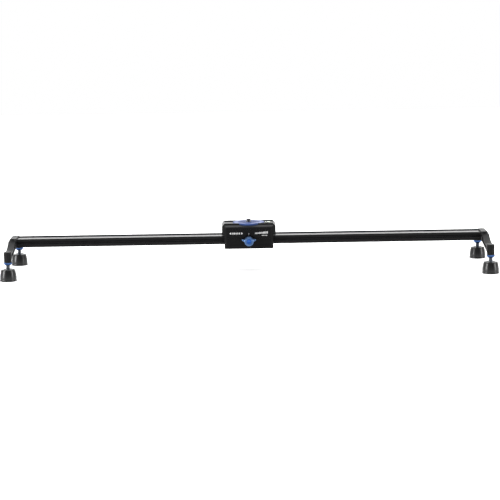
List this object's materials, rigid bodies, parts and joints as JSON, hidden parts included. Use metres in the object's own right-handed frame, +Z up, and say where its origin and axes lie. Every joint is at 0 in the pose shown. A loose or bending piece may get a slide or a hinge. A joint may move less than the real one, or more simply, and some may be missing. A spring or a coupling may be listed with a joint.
{
  "type": "camera slider",
  "caption": "Table-top camera slider: an extruded rail on levelling feet, with a roller carriage, wing-knob brake, spirit level and round head plate with a stud.",
  "frame": {"origin": "on the floor under the middle of the rail", "axes": "+X along the rail to the right, the brake side faces -Y, +Z up"},
  "size_m": [0.937, 0.228, 0.0984],
  "materials": {
    "rail_anodised": "black anodised, satin, fine lengthwise extrusion lines",
    "bracket_paint": "black powder coat with a fine texture",
    "screw_black": "black oxide",
    "bumper_rubber": "matt moulded rubber",
    "block_anodised": "black anodised, machined",
    "carriage_anodised": "black anodised, bead blasted",
    "disc_blue": "blue anodised, turned",
    "disc_pad": "ribbed rubber pad",
    "stud_steel": "plain threaded steel",
    "level_housing": "moulded",
    "level_glass": "clear",
    "level_fluid": "pale green liquid with a bubble",
    "roller_acetal": "machined acetal",
    "insert_steel": "stainless, threaded",
    "bearing_steel": "turned steel",
    "brake_bush_brass": "turned brass",
    "brake_shoe_nylon": "natural nylon",
    "brake_screw_steel": "plain threaded steel",
    "knob_blue": "satin blue, slightly greyed",
    "knob_cap_blue": "saturated blue insert",
    "foot_rubber": "smooth moulded, half gloss",
    "foot_socket_plastic": "moulded",
    "foot_stud_steel": "dark zinc plated thread",
    "collar_blue": "blue anodised, knurled band"
  },
  "bodies": {
    "rail": {"rail_extrusion": "rail_anodised", "left_end_bracket": "bracket_paint", "right_end_bracket": "bracket_paint", "left_bracket_screws": "screw_black", "right_bracket_screws": "screw_black", "left_bumper": "bumper_rubber", "right_bumper": "bumper_rubber", "tripod_block": "block_anodised", "tripod_inserts": "insert_steel", "tripod_block_screws": "screw_black"},
    "carriage": {"carriage_body": "carriage_anodised", "front_cover": "carriage_anodised", "rear_cover": "carriage_anodised", "cover_screws": "screw_black", "left_end_plate": "carriage_anodised", "right_end_plate": "carriage_anodised", "end_plate_screws": "screw_black", "top_plate": "carriage_anodised", "top_plate_screws": "screw_black", "mounting_disc": "disc_blue", "disc_pad": "disc_pad", "disc_screws": "screw_black", "head_stud": "stud_steel", "level_housing": "level_housing", "level_vial": "level_glass", "level_fluid": "level_fluid", "roller_axles": "bearing_steel", "inner_races": "bearing_steel", "roller_spacers": "bearing_steel", "eccentric_bushes": "bearing_steel", "brake_bush": "brake_bush_brass"},
    "brake_shoe_body": {"brake_shoe": "brake_shoe_nylon"},
    "brake_knob_body": {"brake_screw": "brake_screw_steel", "brake_knob": "knob_blue", "brake_knob_cap": "knob_cap_blue"},
    "front_left_roller_body": {"front_left_roller": "roller_acetal"},
    "front_right_roller_body": {"front_right_roller": "roller_acetal"},
    "rear_left_roller_body": {"rear_left_roller": "roller_acetal"},
    "rear_right_roller_body": {"rear_right_roller": "roller_acetal"},
    "front_left_foot": {"front_left_foot_pad": "foot_rubber", "front_left_foot_socket": "foot_socket_plastic"},
    "front_left_stud_body": {"front_left_foot_stud": "foot_stud_steel"},
    "front_left_collar_body": {"front_left_lock_collar": "collar_blue"},
    "front_right_foot": {"front_right_foot_pad": "foot_rubber", "front_right_foot_socket": "foot_socket_plastic"},
    "front_right_stud_body": {"front_right_foot_stud": "foot_stud_steel"},
    "front_right_collar_body": {"front_right_lock_collar": "collar_blue"},
    "rear_left_foot": {"rear_left_foot_pad": "foot_rubber", "rear_left_foot_socket": "foot_socket_plastic"},
    "rear_left_stud_body": {"rear_left_foot_stud": "foot_stud_steel"},
    "rear_left_collar_body": {"rear_left_lock_collar": "collar_blue"},
    "rear_right_foot": {"rear_right_foot_pad": "foot_rubber", "rear_right_foot_socket": "foot_socket_plastic"},
    "rear_right_stud_body": {"rear_right_foot_stud": "foot_stud_steel"},
    "rear_right_collar_body": {"rear_right_lock_collar": "collar_blue"}
  },
  "joints": [
    {"name": "carriage_slide", "type": "slide", "parent": "rail", "child": "carriage", "axis": [1, 0, 0], "range_m": [-0.3975, 0.3975]},
    {"name": "front_left_roller_spin", "type": "hinge", "parent": "carriage", "child": "front_left_roller_body", "pos_m": [-0.03, -0.0257, 0.06], "axis": [0, 0, 1], "continuous": true},
    {"name": "front_right_roller_spin", "type": "hinge", "parent": "carriage", "child": "front_right_roller_body", "pos_m": [0.03, -0.0257, 0.06], "axis": [0, 0, 1], "continuous": true},
    {"name": "rear_left_roller_spin", "type": "hinge", "parent": "carriage", "child": "rear_left_roller_body", "pos_m": [-0.03, 0.0257, 0.06], "axis": [0, 0, 1], "continuous": true},
    {"name": "rear_right_roller_spin", "type": "hinge", "parent": "carriage", "child": "rear_right_roller_body", "pos_m": [0.03, 0.0257, 0.06], "axis": [0, 0, 1], "continuous": true},
    {"name": "brake_shoe_slide", "type": "slide", "parent": "carriage", "child": "brake_shoe_body", "axis": [0, 1, 0], "range_m": [0, 0.0005]},
    {"name": "brake_knob_turn", "type": "hinge", "parent": "brake_shoe_body", "child": "brake_knob_body", "pos_m": [0, -0.043, 0.06], "axis": [0, 1, 0], "range_deg": [0, 180]},
    {"name": "front_left_foot_height", "type": "slide", "parent": "rail", "child": "front_left_foot", "axis": [0, 0, 1], "range_m": [-0.007, 0.005]},
    {"name": "front_left_stud_turn", "type": "hinge", "parent": "front_left_foot", "child": "front_left_stud_body", "pos_m": [-0.4525, -0.098, 0.02], "axis": [0, 0, 1], "range_deg": [-2017, 1441]},
    {"name": "front_left_collar_turn", "type": "hinge", "parent": "rail", "child": "front_left_collar_body", "pos_m": [-0.4525, -0.098, 0.032], "axis": [0, 0, 1], "continuous": true},
    {"name": "front_right_foot_height", "type": "slide", "parent": "rail", "child": "front_right_foot", "axis": [0, 0, 1], "range_m": [-0.007, 0.005]},
    {"name": "front_right_stud_turn", "type": "hinge", "parent": "front_right_foot", "child": "front_right_stud_body", "pos_m": [0.4525, -0.098, 0.02], "axis": [0, 0, 1], "range_deg": [-2017, 1441]},
    {"name": "front_right_collar_turn", "type": "hinge", "parent": "rail", "child": "front_right_collar_body", "pos_m": [0.4525, -0.098, 0.032], "axis": [0, 0, 1], "continuous": true},
    {"name": "rear_left_foot_height", "type": "slide", "parent": "rail", "child": "rear_left_foot", "axis": [0, 0, 1], "range_m": [-0.007, 0.005]},
    {"name": "rear_left_stud_turn", "type": "hinge", "parent": "rear_left_foot", "child": "rear_left_stud_body", "pos_m": [-0.4525, 0.098, 0.02], "axis": [0, 0, 1], "range_deg": [-2017, 1441]},
    {"name": "rear_left_collar_turn", "type": "hinge", "parent": "rail", "child": "rear_left_collar_body", "pos_m": [-0.4525, 0.098, 0.032], "axis": [0, 0, 1], "continuous": true},
    {"name": "rear_right_foot_height", "type": "slide", "parent": "rail", "child": "rear_right_foot", "axis": [0, 0, 1], "range_m": [-0.007, 0.005]},
    {"name": "rear_right_stud_turn", "type": "hinge", "parent": "rear_right_foot", "child": "rear_right_stud_body", "pos_m": [0.4525, 0.098, 0.02], "axis": [0, 0, 1], "range_deg": [-2017, 1441]},
    {"name": "rear_right_collar_turn", "type": "hinge", "parent": "rail", "child": "rear_right_collar_body", "pos_m": [0.4525, 0.098, 0.032], "axis": [0, 0, 1], "continuous": true}
  ],
  "couplings": [
    {"joint": "front_left_roller_spin", "follows": "carriage_slide", "rad_per_m": 217.39},
    {"joint": "front_right_roller_spin", "follows": "carriage_slide", "rad_per_m": 217.39},
    {"joint": "rear_left_roller_spin", "follows": "carriage_slide", "rad_per_m": -217.39},
    {"joint": "rear_right_roller_spin", "follows": "carriage_slide", "rad_per_m": -217.39},
    {"joint": "brake_knob_turn", "follows": "brake_shoe_slide", "rad_per_m": 6283},
    {"joint": "front_left_stud_turn", "follows": "front_left_foot_height", "rad_per_m": 5026.5},
    {"joint": "front_right_stud_turn", "follows": "front_right_foot_height", "rad_per_m": 5026.5},
    {"joint": "rear_left_stud_turn", "follows": "rear_left_foot_height", "rad_per_m": 5026.5},
    {"joint": "rear_right_stud_turn", "follows": "rear_right_foot_height", "rad_per_m": 5026.5}
  ]
}
